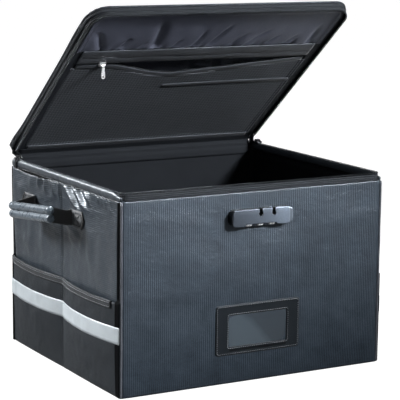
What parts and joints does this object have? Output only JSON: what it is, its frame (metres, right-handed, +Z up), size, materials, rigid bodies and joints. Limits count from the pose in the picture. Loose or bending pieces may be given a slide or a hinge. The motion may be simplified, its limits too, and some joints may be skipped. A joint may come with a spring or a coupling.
{
  "type": "record carrying case",
  "caption": "Cloth-covered box with a zip-round hinged lid, a three-dial zip lock on the front, side carry handles, side pockets and a label window",
  "frame": {"origin": "centre of the footprint, on the surface that the case stands on", "axes": "+Z up, the front with the lock and the label faces -Y, +X is the right side seen from the front; the lid hinges on the back top edge at +Y"},
  "size_m": [0.543, 0.4097, 0.5571],
  "materials": {
    "outer_cloth": "slate-grey ribbed polyester cloth with a soft sheen",
    "lining_cloth": "black polyester lining",
    "board": "grey stiffening board",
    "piping": "grey coated binding, smooth",
    "zip_tape": "black zip tape with rows of stitching",
    "zip_coil": "black nylon coil",
    "slider_metal": "bright plated metal",
    "slider_black": "black-nickel plated metal",
    "webbing": "black woven webbing",
    "grip_vinyl": "light grey glossy coated padding",
    "reflective": "silver reflective tape",
    "satin": "slate satin, gathered",
    "mesh": "fine black mesh",
    "lock_plastic": "black satin moulding",
    "dial_plastic": "pale plastic with dark numbers",
    "steel": "plated steel",
    "label_film": "clear film over a dark card"
  },
  "bodies": {
    "case": {"front_cover": "outer_cloth", "back_cover": "outer_cloth", "left_cover": "outer_cloth", "right_cover": "outer_cloth", "base_cover": "lining_cloth", "corner_piping": "piping", "front_board": "board", "back_board": "board", "left_front_board": "board", "left_rear_board": "board", "right_front_board": "board", "right_rear_board": "board", "wall_lining": "lining_cloth", "side_binding": "piping", "body_zip_tape": "zip_tape", "body_zip_coil": "zip_coil", "hinge_fold": "outer_cloth", "lock_housing": "lock_plastic", "lock_backplate": "steel", "lock_screws": "steel", "dial_shaft": "steel", "latch_spring": "steel", "label_frame": "outer_cloth", "label_window": "label_film", "left_pocket": "outer_cloth", "left_pocket_hem": "piping", "left_reflective_strip": "reflective", "right_pocket": "outer_cloth", "right_pocket_hem": "piping", "right_reflective_strip": "reflective", "left_handle_anchors": "webbing", "right_handle_anchors": "webbing"},
    "lid": {"lid_cover": "outer_cloth", "lid_board": "board", "lid_lining": "lining_cloth", "lid_border": "lining_cloth", "lid_gather": "satin", "lid_upper_band": "lining_cloth", "lid_zip_tape": "zip_tape", "lid_zip_coil": "zip_coil", "pocket_mesh": "mesh", "pocket_lower_tape": "zip_tape", "pocket_upper_coil": "zip_coil"},
    "base_board": {"base_board": "lining_cloth"},
    "left_handle": {"left_handle_strap": "webbing", "left_grip": "grip_vinyl"},
    "right_handle": {"right_handle_strap": "webbing", "right_grip": "grip_vinyl"},
    "dial_1": {"dial_1": "dial_plastic"},
    "dial_2": {"dial_2": "dial_plastic"},
    "dial_3": {"dial_3": "dial_plastic"},
    "release": {"release_button": "lock_plastic", "latch_bar": "steel"},
    "left_slider": {"left_zip_slider": "slider_black"},
    "right_slider": {"right_zip_slider": "slider_black"},
    "left_pull": {"left_zip_pull": "slider_black"},
    "right_pull": {"right_zip_pull": "slider_black"},
    "pocket_slider": {"pocket_slider": "slider_metal"},
    "pocket_pull": {"pocket_pull": "slider_metal"}
  },
  "joints": [
    {"name": "lid_hinge", "type": "hinge", "parent": "case", "child": "lid", "pos_m": [0, 0.1923, 0.301], "axis": [-1, 0, 0], "range_deg": [-39, 136]},
    {"name": "left_handle_swing", "type": "hinge", "parent": "case", "child": "left_handle", "pos_m": [-0.2286, 0.03, 0.241], "axis": [0, 1, 0], "range_deg": [-55, 50]},
    {"name": "right_handle_swing", "type": "hinge", "parent": "case", "child": "right_handle", "pos_m": [0.2286, 0.03, 0.241], "axis": [0, -1, 0], "range_deg": [-55, 50]},
    {"name": "dial_1_turn", "type": "hinge", "parent": "case", "child": "dial_1", "pos_m": [-0.0192, -0.1982, 0.24305], "axis": [1, 0, 0], "continuous": true},
    {"name": "dial_2_turn", "type": "hinge", "parent": "case", "child": "dial_2", "pos_m": [0.0005, -0.1982, 0.24305], "axis": [1, 0, 0], "continuous": true},
    {"name": "dial_3_turn", "type": "hinge", "parent": "case", "child": "dial_3", "pos_m": [0.0202, -0.1982, 0.24305], "axis": [1, 0, 0], "continuous": true},
    {"name": "release_press", "type": "slide", "parent": "case", "child": "release", "axis": [-1, 0, 0], "range_m": [0, 0.004], "stiffness_N_per_m": 400},
    {"name": "left_slider_run", "type": "slide", "parent": "case", "child": "left_slider", "axis": [0, -1, 0], "range_m": [0, 0.328]},
    {"name": "right_slider_run", "type": "slide", "parent": "case", "child": "right_slider", "axis": [0, -1, 0], "range_m": [0, 0.328]},
    {"name": "left_pull_swing", "type": "hinge", "parent": "left_slider", "child": "left_pull", "pos_m": [-0.2277, 0.172, 0.301], "axis": [0, 1, 0], "range_deg": [0, 160]},
    {"name": "right_pull_swing", "type": "hinge", "parent": "right_slider", "child": "right_pull", "pos_m": [0.2277, 0.172, 0.301], "axis": [0, -1, 0], "range_deg": [0, 160]},
    {"name": "pocket_slider_run", "type": "slide", "parent": "lid", "child": "pocket_slider", "axis": [1, 0, 0], "range_m": [-0.03, 0.35]},
    {"name": "pocket_pull_swing", "type": "hinge", "parent": "pocket_slider", "child": "pocket_pull", "pos_m": [-0.16, -0.00178, 0.46176], "axis": [1, 0, 0], "range_deg": [-124, 46]},
    {"name": "base_board_lift", "type": "slide", "parent": "case", "child": "base_board", "axis": [0, 0, 1], "range_m": [0, 0.26]}
  ]
}
